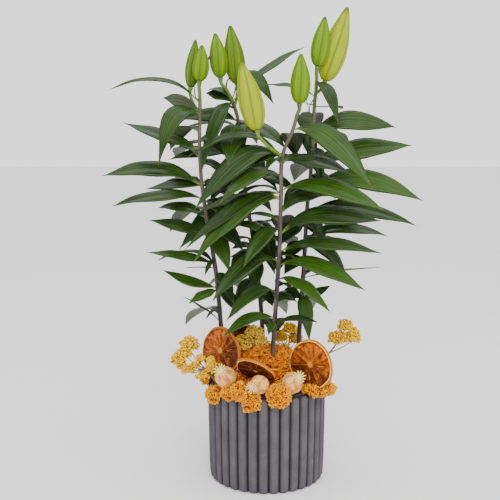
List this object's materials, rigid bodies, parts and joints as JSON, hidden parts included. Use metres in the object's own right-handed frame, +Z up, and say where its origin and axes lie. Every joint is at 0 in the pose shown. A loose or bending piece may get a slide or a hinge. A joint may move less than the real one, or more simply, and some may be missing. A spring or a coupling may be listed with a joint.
{
  "type": "potted lily",
  "caption": "Potted lily in bud: leafy stems rising from a fluted round concrete planter, dressed with dried orange slices, poppy heads, yarrow and moss.",
  "frame": {"origin": "centre of the pot's underside", "axes": "+Z up along the stems, -Y towards the viewer (the side the dressing faces), +X to the viewer's right"},
  "size_m": [0.3758, 0.2041, 0.5557],
  "materials": {
    "concrete": "matt cast concrete, dark grey",
    "earth": "moist potting soil",
    "orange_moss": "dyed shredded moss, matt and fibrous",
    "leaf": "waxy living leaf, satin",
    "bud": "smooth closed bud, satin",
    "dried_orange": "dried peel and translucent pulp",
    "poppy": "dry seed head, matt",
    "yarrow": "dried dyed flower heads, matt and crumbly",
    "everlasting": "dried small flower heads, papery"
  },
  "bodies": {
    "root": {"pot": "concrete", "soil": "earth", "moss": "orange_moss", "lily_stem_front": "leaf", "lily_stem_left": "leaf", "lily_stem_back": "leaf", "lily_stem_right": "leaf", "bud_front_upper": "bud", "bud_front_lower": "bud", "bud_left_upper": "bud", "bud_left_rear": "bud", "bud_back_upper": "bud", "bud_back_rear": "bud", "bud_right_upper": "bud", "bud_right_rear": "bud", "orange_slice_right": "dried_orange", "orange_slice_middle": "dried_orange", "orange_slice_left": "dried_orange", "orange_slice_rear": "dried_orange", "poppy_left": "poppy", "poppy_middle": "poppy", "poppy_right": "poppy", "poppy_rear": "poppy", "yarrow_front_1": "yarrow", "yarrow_front_2": "yarrow", "yarrow_front_3": "yarrow", "yarrow_front_4": "yarrow", "yarrow_front_5": "yarrow", "yarrow_right": "yarrow", "yarrow_rear_1": "yarrow", "yarrow_rear_2": "yarrow", "yarrow_rear_3": "yarrow", "yarrow_rear_4": "yarrow", "yarrow_rear_5": "yarrow", "yellow_spray_left": "everlasting", "yellow_spray_right": "everlasting", "yellow_spray_middle": "everlasting", "yellow_spray_rear": "everlasting"}
  },
  "joints": []
}
